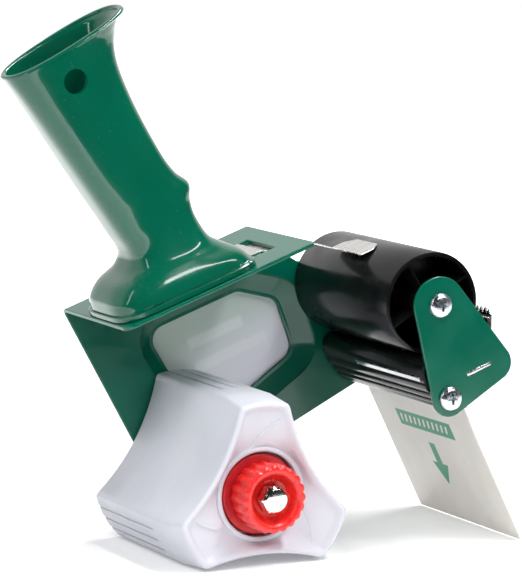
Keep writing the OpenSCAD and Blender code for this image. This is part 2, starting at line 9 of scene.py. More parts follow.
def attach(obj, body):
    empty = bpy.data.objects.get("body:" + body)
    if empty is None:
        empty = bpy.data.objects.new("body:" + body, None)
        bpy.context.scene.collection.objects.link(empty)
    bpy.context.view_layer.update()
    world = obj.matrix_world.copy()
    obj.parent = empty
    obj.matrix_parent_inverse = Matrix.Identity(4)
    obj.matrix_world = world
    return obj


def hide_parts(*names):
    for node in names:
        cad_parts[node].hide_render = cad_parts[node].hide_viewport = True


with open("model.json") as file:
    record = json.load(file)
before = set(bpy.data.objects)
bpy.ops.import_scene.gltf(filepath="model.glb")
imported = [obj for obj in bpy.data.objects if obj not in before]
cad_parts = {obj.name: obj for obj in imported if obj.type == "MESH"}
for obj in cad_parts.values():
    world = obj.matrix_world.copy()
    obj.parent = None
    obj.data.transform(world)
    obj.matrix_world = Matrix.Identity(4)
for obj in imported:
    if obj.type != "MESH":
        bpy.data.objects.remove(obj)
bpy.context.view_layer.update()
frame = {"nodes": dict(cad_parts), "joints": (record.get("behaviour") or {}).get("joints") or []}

# ---- Places: millimetres from the hub axle, at the hub's front face ----

MM = 0.001
LEAN = math.radians(19.8)
AXLE = Vector(next(j for j in frame["joints"] if j["name"] == "hub_spin")["pos_m"])
WHOLE = 2 * math.pi

# Sizes of the frame, and of the looks built around it
HUB_R, HUB_LEN, HUB_WALL = 37.5, 77.0, 2.2
LOBE_HALF, WEB_REACH = 15.4, 22.3
LEAD_LEN, LEAD_DROP = 15.0, 1.9
KNOB_R, KNOB_FRONT, KNOB_BACK = 13.2, -8.35, 4.95
PLATE_TOP, FOOT_BACK, FOOT_LEN, FOOT_W, FOOT_MID = 76.9, -23.2, 61.4, 43.0, 41.5
GRIP_W, GRIP_WALL, GRIP_H = 28.0, 2.4, 101.0
ROLLER_X, ROLLER_Z, ROLLER_R = 90.2, 40.5, 19.8
ROD_X, ROD_Z = 82.3, 4.9
END_Y, SIDE_Y = -5.7, 79.5
NUT_FRONT, NUT_BACK, NUT_HALF, NUT_BORE = -9.35, -4.35, 5.0, 3.08
HANG_ALONG, HANG_DOWN, HANG_R = 15.4, 9.2, 4.7
HUB_WELL_R, HUB_COLLAR_R, HUB_BOSS_R, HUB_BORE_R = 16.3, 18.3, 8.0, 5.06
HUB_FLOOR, HUB_RAMP = 13.1, 15.6
GROOVE_STEP, GROOVE_HALF, GROOVE_DEEP = 7.66, 0.85, 0.5
FLOOR_Z = -AXLE.z / MM
FLAP_LEAN = math.radians(26.1)

# Top of the tape guide's flat rear flank, then the way down it and the way out of it, as (x, z)
FLANK_X, FLANK_Z = 74.54, 15.25
FLANK_DOWN, FLANK_OUT = (0.276, -0.961), (-0.961, -0.276)


def upright(x, y, z):
    """Row-frame point of one that stands square to the table."""
    return AXLE + Vector((x, y, z)) * MM


def leaned(x, y, z):
    """Row-frame point of one that leans back with the frame."""
    return upright(x * math.cos(LEAN) - z * math.sin(LEAN), y, x * math.sin(LEAN) + z * math.cos(LEAN))


# ---- Shader writing ----


class Value:
    """A socket's value; arithmetic on it adds Math nodes to its finish."""

    def __init__(self, finish, socket):
        self.finish, self.socket = finish, socket

    def maths(self, operation, *values):
        return self.finish.node("ShaderNodeMath", {"operation": operation}, dict(enumerate(values)))

    def __add__(self, other):
        return self.maths("ADD", self, other)

    def __radd__(self, other):
        return self.maths("ADD", other, self)

    def __sub__(self, other):
        return self.maths("SUBTRACT", self, other)

    def __rsub__(self, other):
        return self.maths("SUBTRACT", other, self)

    def __mul__(self, other):
        return self.maths("MULTIPLY", self, other)

    def __truediv__(self, other):
        return self.maths("DIVIDE", self, other)

    def __abs__(self):
        return self.maths("ABSOLUTE", self)

    def above(self, other):
        """The larger of the two."""
        return self.maths("MAXIMUM", self, other)

    def fraction(self):
        return self.maths("FRACT", self)


class Finish:
    """One material: a Principled shader and the nodes that vary it. With no name, a bare tree."""

    def __init__(self, name, tree=None, **constants):
        if tree is None:
            self.material = bpy.data.materials.new(name)
            self.material.use_nodes = True
            tree = self.material.node_tree
        self.tree = tree
        self.tree.nodes.clear()
        self.place = None
        if name:
            self.shader = self.tree.nodes.new("ShaderNodeBsdfPrincipled")
            self.set(**constants)
            out = self.tree.nodes.new("ShaderNodeOutputMaterial")
            self.tree.links.new(self.shader.outputs[0], out.inputs[0])

    def put(self, socket, value):
        """Link a value to a socket, or set the socket to a constant."""
        if isinstance(value, Value):
            self.tree.links.new(value.socket, socket)
        elif socket.type == "RGBA" and len(value) == 3:
            socket.default_value = (*value, 1)
        else:
            socket.default_value = value

    def node(self, kind, settings=None, values=None, out=0):
        """Add any node: its settings first, then its sockets' values or links."""
        made = self.tree.nodes.new(kind)
        for key, setting in (settings or {}).items():
            if key == "stops":
                ramp = made.color_ramp
                while len(ramp.elements) < len(setting):
                    ramp.elements.new(0.5)
                for element, (position, colour) in zip(ramp.elements, setting):
                    element.position, element.color = position, (*colour, 1)
            else:
                setattr(made, key, setting)
        for key, value in (values or {}).items():
            self.put(made.inputs[key], value)
        return Value(self, made.outputs[out])

    def set(self, **values):
        """Set or link the Principled shader's own sockets."""
        for key, value in values.items():
            self.put(self.shader.inputs[key.replace("_", " ")], value)
        return self

    def axes(self, vector):
        """The three parts of a vector."""
        split = self.node("ShaderNodeSeparateXYZ", values={0: vector}).socket.node
        return [Value(self, s) for s in split.outputs]

    def where(self):
        """Object coordinates, one node for each finish."""
        if self.place is None:
            self.place = self.node("ShaderNodeTexCoord", out=3)
        return self.place

    def square(self):
        """Millimetres from the axle, square to the table."""
        return [(part - AXLE[i]) / MM for i, part in enumerate(self.axes(self.where()))]

    def along_frame(self):
        """Millimetres from the axle in the leaning frame."""
        x, y, z = self.square()
        c, s = math.cos(LEAN), math.sin(LEAN)
        return x * c + z * s, y, z * c - x * s

    def stretched(self, scale, turn=0.0):
        """Object coordinates stretched along their own axes, then turned by turn about y, for drawn or
        brushed grain.
        """
        return self.node("ShaderNodeMapping", values={0: self.where(), 2: (0, turn, 0), 3: scale})

    def noise(self, scale, detail=3.0, vector=None):
        """Drifting value about 0.5, at a scale in cycles a metre."""
        return self.node(
            "ShaderNodeTexNoise",
            values={"Vector": vector or self.where(), "Scale": scale, "Detail": detail},
        )

    def rise(self, value, low, high):
        """0 below low, 1 above high, smooth between."""
        return self.node(
            "ShaderNodeMapRange", {"interpolation_type": "SMOOTHSTEP"}, {0: value, 1: low, 2: high}
        )

    def between(self, value, low, high, soft):
        """1 inside a band, with soft edges."""
        return self.rise(value, low - soft, low + soft) * (1 - self.rise(value, high - soft, high + soft))

    def mix(self, a, b, share):
        """Colour a where share is 0, b where it is 1."""
        return self.node("ShaderNodeMix", {"data_type": "RGBA"}, {0: share, 6: a, 7: b}, out=2)

    def clouded(self, a, b, scale):
        """Base colour that drifts between two near shades."""
        drift = self.rise(self.noise(scale), 0.35, 0.65)
        return self.set(Base_Color=self.mix(a, b, drift))

    def worn(self, low, high, scale):
        """Roughness that drifts between two values."""
        drift = self.rise(self.noise(scale), 0.3, 0.7)
        return self.set(Roughness=low + drift * (high - low))

    def bumped(self, height, depth, strength):
        """Surface relief, depth in metres."""
        bump = {"Height": height, "Distance": depth, "Strength": strength}
        return self.set(Normal=self.node("ShaderNodeBump", values=bump))


# ---- Finishes ----


def enamel():
    """Green stove enamel, faintly orange-peeled."""
    f = Finish("green_enamel", IOR=1.45, Coat_Weight=0.2, Coat_Roughness=0.03)
    f.clouded((0.0, 0.088, 0.053), (0.0, 0.102, 0.062), 30)
    f.worn(0.14, 0.22, 60)
    return f.bumped(f.noise(420, 2), 0.00003, 0.35).material


def handle_plastic():
    """Glossy green plastic with a few paler specks."""
    f = Finish("green_plastic", IOR=1.45, Coat_Weight=0.6, Coat_Roughness=0.03)
    speck = f.rise(f.noise(900, 1), 0.70, 0.74)
    drift = f.rise(f.noise(25), 0.35, 0.65)
    base = f.mix((0.0, 0.080, 0.044), (0.0, 0.094, 0.053), drift)
    f.set(Base_Color=f.mix(base, (0.03, 0.17, 0.11), speck * 0.35))
    f.worn(0.12, 0.20, 70)
    return f.bumped(f.noise(650, 2) + speck * 0.6, 0.00003, 0.3).material


def frosted_panel():
    """Milky window panel, with painted shade and light: darker and greener towards the top, paler at the
    bottom. Its two pale bars are stand-ins for any wording.
    """
    f = Finish("frosted_panel", IOR=1.46, Subsurface_Weight=0.1, Subsurface_Scale=0.002)
    x, y, z = f.along_frame()
    # Painted shade and light: the panel's colour runs from pale at the bottom to a dark grey green at the
    # top.
    height = f.rise(z - x * 0.25, 8, 44)
    base = f.mix((0.66, 0.68, 0.76), (0.40, 0.50, 0.45), height)
    upper_row = f.between(z, 38.5, 43, 0.8) * f.between(x, 22, 47, 0.8)
    lower_row = f.between(z, 28.5, 33, 0.8) * f.between(x, 22, 55, 0.8)
    base = f.mix(base, (0.74, 0.78, 0.80), upper_row.above(lower_row) * 0.35)
    grain = f.noise(1400, 2)
    f.set(Base_Color=f.mix(base, (0.55, 0.58, 0.60), f.rise(grain, 0.55, 0.8) * 0.25))
    f.worn(0.38, 0.5, 50)
    return f.bumped(grain, 0.00004, 0.4).material


def hub_plastic():
    """Satin white plastic."""
    f = Finish("white_plastic", IOR=1.46, Subsurface_Weight=0.1, Subsurface_Scale=0.002)
    f.clouded((0.55, 0.565, 0.63), (0.59, 0.605, 0.665), 35)
    f.worn(0.34, 0.44, 80)
    return f.bumped(f.noise(1100, 2), 0.00003, 0.3).material


def red_plastic():
    """Knob plastic."""
    f = Finish(
        "red_plastic", IOR=1.5, Coat_Weight=0.35, Coat_Roughness=0.12,
        Subsurface_Weight=0.08, Subsurface_Scale=0.002,
    )
    f.clouded((0.66, 0.010, 0.009), (0.74, 0.018, 0.013), 160)
    f.worn(0.24, 0.36, 240)
    return f.bumped(f.noise(1500, 2), 0.00003, 0.4).material


def dark_red_plastic():
    """Duller plastic of the pressure disc."""
    f = Finish("dark_red_plastic", IOR=1.48)
    f.clouded((0.46, 0.010, 0.016), (0.54, 0.014, 0.022), 160)
    f.worn(0.35, 0.48, 200)
    return f.bumped(f.noise(1500, 2), 0.00003, 0.4).material


def black_plastic():
    """Glossy black plastic, its scuffs drawn along the roller."""
    f = Finish("black_plastic", IOR=1.40)
    f.clouded((0.003, 0.003, 0.0035), (0.006, 0.006, 0.0065), 60)
    f.worn(0.16, 0.28, 90)
    scuff = f.noise(90, 4, f.stretched((1, 0.06, 1)))
    return f.bumped(f.rise(scuff, 0.5, 0.8), 0.00002, 0.25).material


def metal(name, dark, light, smooth, rough, grain=900.0, stretch=(1, 1, 1), depth=0.00002):
    """A bare or plated metal with its grain drawn along one way."""
    f = Finish(name, Metallic=1.0)
    lines = f.noise(grain, 3, f.stretched(stretch))
    f.set(Base_Color=f.mix(dark, light, f.rise(lines, 0.3, 0.7)))
    stain = f.noise(180, 3)
    f.set(Roughness=smooth + f.rise(lines + stain, 0.8, 1.25) * (rough - smooth))
    return f.bumped(lines, depth, 0.3).material


def film():
    """Pale wiper film, its printed band and arrow stand-ins for any wording."""
    f = Finish("clear_film", IOR=1.45, Subsurface_Weight=0.15, Subsurface_Scale=0.002)
    x, y, z = f.square()
    up = (z - FLOOR_Z) / math.cos(FLAP_LEAN)
    band = f.between(y, 18, 62, 0.25) * f.between(up, 42, 49.5, 0.25)
    dash = f.between((y / 3.6 + up * 0.09).fraction(), 0.30, 0.68, 0.06) * f.between(up, 44, 47.6, 0.2)
    dash = dash * f.between(y, 20.5, 59.5, 0.3)
    stem = f.between(y, 39.7, 44.3, 0.25) * f.between(up, 26, 36.5, 0.25)
    wing = (up - 17) * 0.62 - abs(y - 42)
    head = f.rise(wing, -0.2, 0.2) * f.between(up, 17, 27, 0.25)
    ink = (band * (1 - dash)).above(stem.above(head))
    streak = f.rise(f.noise(60, 3, f.stretched((1, 1, 0.12))), 0.35, 0.7)
    base = f.mix((0.60, 0.60, 0.56), (0.66, 0.66, 0.62), streak)
    f.set(Base_Color=f.mix(base, (0.0, 0.235, 0.115), ink))
    f.worn(0.30, 0.42, 45)
    return f.bumped(f.noise(300, 2) + ink * 0.5, 0.00003, 0.3).material


FINISHES = {
    "green_enamel": enamel(),
    "green_plastic": handle_plastic(),
    "frosted_panel": frosted_panel(),
    "white_plastic": hub_plastic(),
    "red_plastic": red_plastic(),
    "dark_red_plastic": dark_red_plastic(),
    "black_plastic": black_plastic(),
    "clear_film": film(),
    "zinc": metal("zinc", (0.62, 0.67, 0.74), (0.76, 0.79, 0.84), 0.20, 0.36, 700),
    "spring_steel": metal(
        "spring_steel", (0.64, 0.62, 0.60), (0.76, 0.74, 0.71), 0.24, 0.40, 900, (0.1, 1, 0.1)
    ),
    "bright_nickel": metal("bright_nickel", (0.78, 0.74, 0.68), (0.86, 0.83, 0.78), 0.07, 0.16, 500),
    "brass": metal("brass", (0.72, 0.52, 0.22), (0.82, 0.64, 0.30), 0.20, 0.34, 700),
    "chrome": metal("chrome", (0.76, 0.77, 0.79), (0.86, 0.87, 0.88), 0.05, 0.12, 400, (1, 0.1, 1)),
    "bracket_steel": metal(
        "bracket_steel", (0.58, 0.59, 0.61), (0.70, 0.71, 0.72), 0.18, 0.32, 800, (1, 0.05, 1)
    ),
    "blade_steel": metal(
        "blade_steel", (0.66, 0.67, 0.69), (0.80, 0.81, 0.82), 0.15, 0.28, 900, (1, 1, 0.08)
    ),
}

# ---- Making and handing over a piece ----

# How a frame node's mesh is cleaned, and which of its edges are eased or kept hard
WELD, NEARLY_FLAT, CORNER, WIDE_FACE = 0.01 * MM, math.radians(0.6), math.radians(30), 2.5 * MM


def new_object(name, data):
    """An object in the scene, from a mesh, light or camera."""
    made = bpy.data.objects.new(name, data)
    bpy.context.scene.collection.objects.link(made)
    return made


def mesh_object(name, points, faces, recalculate=True):
    """An object from points in the row frame, its faces turned outwards."""
    mesh = bpy.data.meshes.new(name)
    mesh.from_pydata([tuple(p) for p in points], [], faces)
    tidy = bmesh.new()
    tidy.from_mesh(mesh)
    bmesh.ops.remove_doubles(tidy, verts=tidy.verts, dist=1e-7)
    if recalculate:
        bmesh.ops.recalc_face_normals(tidy, faces=tidy.faces)
    tidy.to_mesh(mesh)
    tidy.free()
    return new_object(name, mesh)


def applied(made):
    """Swap an object's modifiers for the mesh that they give."""
    graph = bpy.context.evaluated_depsgraph_get()
    mesh = bpy.data.meshes.new_from_object(made.evaluated_get(graph), depsgraph=graph)
    made.modifiers.clear()
    made.data = mesh
    return made


def hand_over(made, body, slot, nodes, crease):
    """Give a piece its finish, its body and the nodes that it stands for."""
    made.data.materials.clear()
    made.data.materials.append(FINISHES[slot])
    made.data.shade_smooth()
    made.data.set_sharp_from_angle(angle=math.radians(crease))
    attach(made, body)
    if nodes:
        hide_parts(*nodes)


def keep_flat(mesh, least):
    """Hard edges round every face wider than least, so that flat sheet shades flat."""
    flat = set()
    for face in mesh.polygons:
        longest = max((mesh.vertices[a].co - mesh.vertices[b].co).length for a, b in face.edge_keys)
        if face.area > least * longest:
            flat.update(face.edge_keys)
    for edge in mesh.edges:
        if edge.key in flat:
            edge.use_edge_sharp = True


def eased(name, node, body, slot, width, steps=2):
    """A copy of a frame node with its sharp edges eased."""
    shape = bmesh.new()
    shape.from_mesh(frame["nodes"][node].data)
    bmesh.ops.remove_doubles(shape, verts=shape.verts, dist=WELD)
    bmesh.ops.dissolve_degenerate(shape, edges=shape.edges, dist=WELD)
    bmesh.ops.dissolve_limit(shape, angle_limit=NEARLY_FLAT, verts=shape.verts, edges=shape.edges)
    mesh = bpy.data.meshes.new(name)
    shape.to_mesh(mesh)
    shape.free()
    made = new_object(name, mesh)
    made.data.shade_smooth()
    bevel = made.modifiers.new("ease", "BEVEL")
    bevel.width, bevel.segments = width * MM, steps
    bevel.limit_method, bevel.angle_limit = "ANGLE", CORNER
    bevel.use_clamp_overlap = False
    applied(made)
    hand_over(made, body, slot, [node], 32)
    keep_flat(made.data, WIDE_FACE)


def loft(name, rings, place, round_trip=False):
    """Skin rings of equal length; a round trip joins the last ring to the first."""
    count, last = len(rings[0]), len(rings)
    points = [place(*p) for ring in rings for p in ring]
    faces = []
    for i in range(last if round_trip else last - 1):
        a, b = i * count, (i + 1) % last * count
        for k in range(count):
            n = (k + 1) % count
            faces.append((a + k, a + n, b + n, b + k))
    if not round_trip:
        faces.append(tuple(range(count)))
        faces.append(tuple((last - 1) * count + k for k in range(count)))
    return mesh_object(name, points, faces)


def local(x, y, z):
    """Point of a shape that is placed later, about its own origin."""
    return Vector((x, y, z)) * MM


def circle(r, count):
    """Points (across, up) round a circle."""
    turns = [WHOLE * k / count for k in range(count)]
    return [(r * math.cos(turn), r * math.sin(turn)) for turn in turns]


# ---- Handle ----

# Stations up the handle: rear (along, up), front (along, up), half width, squareness
FOOT_STATIONS = [
    ((0.6, 2.8), (FOOT_LEN - 0.8, 2.8), FOOT_W / 2 - 0.7, 4.2),
    ((1.2, 7), (FOOT_LEN - 3.4, 7), FOOT_W / 2 - 1.4, 4),
    ((5.2, 11.8), (FOOT_LEN - 9, 12), FOOT_W / 2 - 3.4, 3.4),
    ((13, 15.2), (FOOT_LEN - 12.6, 16.4), GRIP_W / 2 + 2.2, 3),
]
GRIP_STATIONS = [
    ((16.5, 20.4), (46.5, 25), GRIP_W / 2 + 0.4, 3.2),
    ((14.6, 28.6), (46.6, 31.4), GRIP_W / 2, 3.4),
    ((12.5, 36.5), (48.3, 37.6), GRIP_W / 2, 3.4),
    ((10.6, 43), (44.3, 43.8), GRIP_W / 2, 3.4),
    ((7.8, 53), (41.2, 53.4), GRIP_W / 2, 3.4),
    ((2, 74), (37.8, 74.6), GRIP_W / 2, 3),
    ((-2.5, 90), (37.3, 92), GRIP_W / 2, 2.7),
    ((-5.2, 98.6), (41, 102.6), GRIP_W / 2 + 0.6, 2.4),
    ((-6, 101), (46.8, 109.8), GRIP_W / 2 + 1.2, 2.4),
]
STATIONS = [
    (Vector(rear), Vector(front), half, squareness)
    for rear, front, half, squareness in FOOT_STATIONS + GRIP_STATIONS
]
HANDLE_POINTS = 128


def station(t):
    """Station at t, on a smooth curve through all of them."""
    i = min(int(t), len(STATIONS) - 2)
    f = t - i
    a, b, c, d = (STATIONS[max(0, min(len(STATIONS) - 1, i + k))] for k in (-1, 0, 1, 2))
    return [
        q + (r - p) * (f / 2) + (2 * p - 5 * q + 4 * r - s) * (f * f / 2)
        + (3 * q - p - 3 * r + s) * (f ** 3 / 2)
        for p, q, r, s in zip(a, b, c, d)
    ]


def handle_ring(rear, front, half_width, squareness, wall=0.0, lift=0.0):
    """One closed ring, drawn in by wall and lifted square to its own plane."""
    mid, half = (rear + front) / 2, (front - rear) / 2
    shrink = 1 - wall / half.length
    mid = mid + Vector((-half.y, half.x)).normalized() * lift
    ring = []
    for k in range(HANDLE_POINTS):
        c, s = math.cos(WHOLE * k / HANDLE_POINTS), math.sin(WHOLE * k / HANDLE_POINTS)
        u = math.copysign(abs(c) ** (2 / squareness), c) * shrink
        v = math.copysign(abs(s) ** (2 / squareness), s)
        ring.append((
            FOOT_BACK + mid.x + half.x * u,
            FOOT_MID + v * (half_width - wall),
            PLATE_TOP + mid.y + half.y * u,
        ))
    return ring


def hanging_hole():
    """Cutter for the round hole through both walls of the grip."""
    along, up, reach = FOOT_BACK + HANG_ALONG, PLATE_TOP + GRIP_H - HANG_DOWN, 30
    rings = []
    for y in (FOOT_MID - reach, FOOT_MID + reach):
        rings.append([(along + x, y, up + z) for x, z in circle(HANG_R, 72)])
    return loft("punch", rings, leaned)


def build_handle():
    """Hollow grip: flanged foot, outside up to the mouth, round its lip and down the inside."""
    rings = []
    for inset, up in [(0.35, 0.02), (0, 0.35), (0, 1.95), (0.3, 2.3), (1.1, 2.4), (1.1, 2.6)]:
        rings.append(handle_ring(
            Vector((inset, up)), Vector((FOOT_LEN - inset, up)), FOOT_W / 2 - inset, 5
        ))
    fine = 9
    top = len(STATIONS) - 1
    steps = [i / fine for i in range(top * fine - 3)]
    rings += [handle_ring(*station(t)) for t in steps]
    lip = GRIP_WALL / 2
    for k in range(9):
        turn = math.pi * k / 8
        rings.append(handle_ring(*STATIONS[-1], lip * (1 - math.cos(turn)), lip * (math.sin(turn) - 1)))
    rings += [handle_ring(*station(t), GRIP_WALL) for t in reversed(steps[2 * fine:])]
    body = loft("handle_grip", rings, leaned)

    punch = hanging_hole()
    hole = body.modifiers.new("hole", "BOOLEAN")
    hole.operation, hole.object, hole.solver = "DIFFERENCE", punch, "EXACT"
    applied(body)
    bpy.data.objects.remove(punch)
    hand_over(body, "base", "green_plastic", ["handle"], 38)


# ---- Hub ----


def hub_reach(angle, inset, tip_drop, groove=False):
    """Distance from the axle to the hub's outline at an angle, drawn in by inset."""
    radius = HUB_R - inset - tip_drop
    chord = HUB_R * math.cos(math.radians(60 - LOBE_HALF))
    half = HUB_R * math.sin(math.radians(60 - LOBE_HALF))
    centre = (chord ** 2 + half ** 2 - WEB_REACH ** 2) / (2 * (chord - WEB_REACH))
    web_r = centre - WEB_REACH + inset
    off = (math.degrees(angle) - 30 + 60) % 120 - 60
    across = centre * math.sin(math.radians(off))
    reach = centre * math.cos(math.radians(off)) - math.sqrt(max(web_r ** 2 - across ** 2, 0))
    if groove:
        tip = (math.degrees(angle) - 90 + 60) % 120 - 60
        if min(abs(abs(tip) - GROOVE_STEP), abs(tip)) < GROOVE_HALF:
            radius -= GROOVE_DEEP
    blend = 2.2
    near = max(blend - abs(radius - reach), 0) / blend
    return min(radius, reach) - near * near * blend / 4


def hub_angles():
    """Angles round the hub, close together where the outline turns."""
    lobe = []
    for low, high, count in [(-60, -22, 14), (-22, -11, 16), (11, 22, 16), (22, 60, 14)]:
        lobe += [low + (high - low) * k / count for k in range(count)]
    for groove in (-GROOVE_STEP, 0, GROOVE_STEP):
        lobe += [groove + step for step in (-0.95, -0.8, 0, 0.8, 0.95)]
    lobe += [-4.2, -2.5, 2.5, 4.2]
    return [math.radians(90 + 120 * k + a) for k in range(3) for a in sorted(lobe)]


def step_angle(r):
    """Where a ramp of the sunk face ends in its step, in degrees, at a radius."""
    return 101 - (r - HUB_COLLAR_R) * 2.35


def face_depth(share, turn):
    """Depth of the sunk face, from collar (0) to rim (1) and round one ramp (0 to 1)."""
    return 5.0 - 3.1 * share - 0.7 * turn * (1 - 0.6 * share)


def build_hub():
    """Lobed shell with its boss, collar and sunk face, as one closed skin."""
    angles = hub_angles()

    def ring(y, reach):
        return [(reach(a) * math.cos(a), y, reach(a) * math.sin(a)) for a in angles]

    def outline(y, inset, groove=False):
        drop = LEAD_DROP * max(0.0, 1 - y / LEAD_LEN)
        return ring(y, lambda a: hub_reach(a, inset, drop, groove))

    def face(share):
        """Sunk face between collar and rim: three ramps, each ending in a curved step."""
        made = []
        start = HUB_COLLAR_R + 0.4
        for a in angles:
            edge = max(hub_reach(a, 3.4, LEAD_DROP * 0.9), HUB_COLLAR_R + 0.9)
            r = start + (edge - start) * share
            turn = (math.degrees(a) - step_angle(r)) / 120 % 1.0
            made.append((r * math.cos(a), face_depth(share, turn), r * math.sin(a)))
        return made

    def plain(y, r):
        return ring(y, lambda a: r)

    rings = [plain(HUB_FLOOR, HUB_BOSS_R), plain(HUB_LEN, HUB_BOSS_R)]
    rings += [plain(HUB_LEN, HUB_BORE_R), plain(10.6, HUB_BORE_R), plain(10.6, HUB_WELL_R)]
    rings += [plain(4.4, HUB_WELL_R), plain(4.05, HUB_WELL_R + 0.4), plain(4.0, HUB_WELL_R + 1)]
    rings += [plain(4.25, HUB_COLLAR_R - 0.25), plain(4.9, HUB_COLLAR_R)]
    rings += [face(k / 14) for k in range(15)]
    for inset, y in [(2.9, 1.25), (2.4, 0.75), (1.9, 0.35), (1.5, 0.12), (1.2, 0.05)]:
        rings.append(outline(y, inset))
    for k in range(1, 7):
        turn = math.pi / 2 * k / 6
        rings.append(outline(0.05 + 1.1 * (1 - math.cos(turn)), 1.1 * (1 - math.sin(turn))))
    for y in (3, 5, 8, 11, 14, 15, 16, 22, 26.6):
        rings.append(outline(y, 0))
    rings += [outline(27.2, 0, True), outline(50, 0, True), outline(76.3, 0, True)]
    rings += [outline(76.9, 0.5), outline(HUB_LEN, 0.8)]
    rings += [outline(HUB_LEN, HUB_WALL), outline(HUB_FLOOR, HUB_WALL)]
    made = loft("hub_lobes", rings, upright, round_trip=True)
    hand_over(made, "hub", "white_plastic", ["hub"], 40)


def build_hub_steps():
    """A curved step across each ramp of the sunk face, from the collar to a lobe's corner."""
    # Outline of the step: how far round, and how far behind the sunk face, so less than 0 stands out
    outline = [(0.5, 1.2), (0.35, -0.35), (0.1, -0.75), (-0.4, -0.8), (-3.2, 0.15), (-3.2, 1.2)]
    inner, reach, count = 18.0, 14.4, 16
    rings = []
    for k in range(count + 1):
        r = inner + reach * k / count
        a = math.radians(step_angle(r))
        if r > hub_reach(a, 2.6, LEAD_DROP):
            break
        floor = face_depth((r - HUB_COLLAR_R) / HUB_RAMP, 0.0)
        out, along = Vector((math.cos(a), math.sin(a))), Vector((-math.sin(a), math.cos(a)))
        ring = []
        for side, deep in outline:
            at = out * r + along * side
            ring.append((at.x, floor + deep, at.y))
        rings.append(ring)
    step = loft("hub_steps", rings, local)
    grown(step, AROUND, Count=3, Start=0.0, Centre=AXLE, Material=FINISHES["white_plastic"])
    hand_over(step, "hub", "white_plastic", [], 30)


def build_knob():
    """Scalloped grip with a dished face."""
    flutes, depth = 20, 0.8
    count = flutes * 14

    def ring(y, r, share=0.0):
        """Ring of a radius, its flutes cut to a share of their depth."""
        made = []
        for k in range(count):
            a = WHOLE * k / count
            crest = abs(math.cos(flutes / 2 * a))
            reach = r - depth * share * (1 - crest ** 1.5) * (1 - crest ** 2) ** 0.2
            made.append((reach * math.cos(a), y, reach * math.sin(a)))
        return made

    rings = [
        ring(KNOB_BACK, 3.5), ring(-3.35, 3.5), ring(-3.35, 6.6), ring(-3.7, 7.3), ring(-5.4, 8.5),
        ring(-7.2, 9.3), ring(-7.9, 9.9), ring(-8.25, 10.7, 0.1), ring(KNOB_FRONT, 11.3, 0.3),
        ring(-8.2, 12.1, 0.6), ring(-7.8, 12.7, 0.85), ring(-7.2, 13.05, 1), ring(-6.4, KNOB_R, 1),
        ring(0, KNOB_R, 1), ring(3.0, KNOB_R, 1), ring(3.4, 12.9, 0.9), ring(3.5, 12.3, 0.5),
        ring(3.5, 11.8), ring(KNOB_BACK - 0.1, 11.8), ring(KNOB_BACK, 11.6),
    ]
    made = loft("tension_grip", rings, upright, round_trip=True)
    hand_over(made, "knob", "red_plastic", ["tension_knob"], 36)


# ---- What repeats ----


def tree_for(name, inputs):
    """An empty Geometry Nodes tree with a geometry in and out and named inputs."""
    tree = bpy.data.node_groups.new(name, "GeometryNodeTree")
    tree.interface.new_socket("Geometry", in_out="INPUT", socket_type="NodeSocketGeometry")
    for label, kind in inputs:
        tree.interface.new_socket(label, in_out="INPUT", socket_type=kind)
    tree.interface.new_socket("Geometry", in_out="OUTPUT", socket_type="NodeSocketGeometry")
    return tree, tree.nodes.new("NodeGroupInput"), tree.nodes.new("NodeGroupOutput")


def wire(tree, kind, links, **settings):
    """Add a node to a tree, set it, and link or set its sockets."""
    node = tree.nodes.new(kind)
    for key, value in settings.items():
        setattr(node, key, value)
    for key, value in links.items():
        if hasattr(value, "is_output"):
            tree.links.new(value, node.inputs[key])
        else:
            node.inputs[key].default_value = value
    return node


def close_tree(tree, geometry, material, out):
    """End a tree by turning its copies into plain mesh with their material."""
    real = wire(tree, "GeometryNodeRealizeInstances", {0: geometry})
    finish = wire(tree, "GeometryNodeSetMaterial", {"Geometry": real.outputs[0], "Material": material})
    tree.links.new(finish.outputs[0], out.inputs[0])


def fastener_tree():
    """A fastener on each vertex, its head turned the way that the vertex faces."""
    tree, given, out = tree_for("fasteners", [
        ("Fastener", "NodeSocketObject"), ("Material", "NodeSocketMaterial"),
    ])
    facing = wire(
        tree, "GeometryNodeInputNamedAttribute", {"Name": "facing"}, data_type="FLOAT_VECTOR"
    )
    turned = wire(tree, "FunctionNodeAlignRotationToVector", {"Vector": facing.outputs[0]}, axis="Z")
    shape = wire(tree, "GeometryNodeObjectInfo", {"Object": given.outputs["Fastener"]})
    points = wire(tree, "GeometryNodeMeshToPoints", {"Mesh": given.outputs["Geometry"]})
    placed = wire(tree, "GeometryNodeInstanceOnPoints", {
        "Points": points.outputs[0], "Instance": shape.outputs["Geometry"],
        "Rotation": turned.outputs[0],
    })
    close_tree(tree, placed.outputs[0], given.outputs["Material"], out)
    return tree


def around_tree():
    """Copies of a shape turned in equal steps round the hub's or roller's axis."""
    tree, given, out = tree_for("around_axis", [
        ("Count", "NodeSocketInt"), ("Start", "NodeSocketFloat"), ("Centre", "NodeSocketVector"),
        ("Material", "NodeSocketMaterial"),
    ])
    points = wire(tree, "GeometryNodePoints", {"Count": given.outputs["Count"]})
    index = wire(tree, "GeometryNodeInputIndex", {})
    step = wire(tree, "ShaderNodeMath", {0: WHOLE, 1: given.outputs["Count"]}, operation="DIVIDE")
    turn = wire(tree, "ShaderNodeMath", {
        0: index.outputs[0], 1: step.outputs[0], 2: given.outputs["Start"],
    }, operation="MULTIPLY_ADD")
    spin = wire(tree, "ShaderNodeCombineXYZ", {1: turn.outputs[0]})
    placed = wire(tree, "GeometryNodeInstanceOnPoints", {
        "Points": points.outputs[0], "Instance": given.outputs["Geometry"], "Rotation": spin.outputs[0],
    })
    moved = wire(tree, "GeometryNodeTransform", {
        "Geometry": placed.outputs[0], "Translation": given.outputs["Centre"],
    })
    close_tree(tree, moved.outputs[0], given.outputs["Material"], out)
    return tree


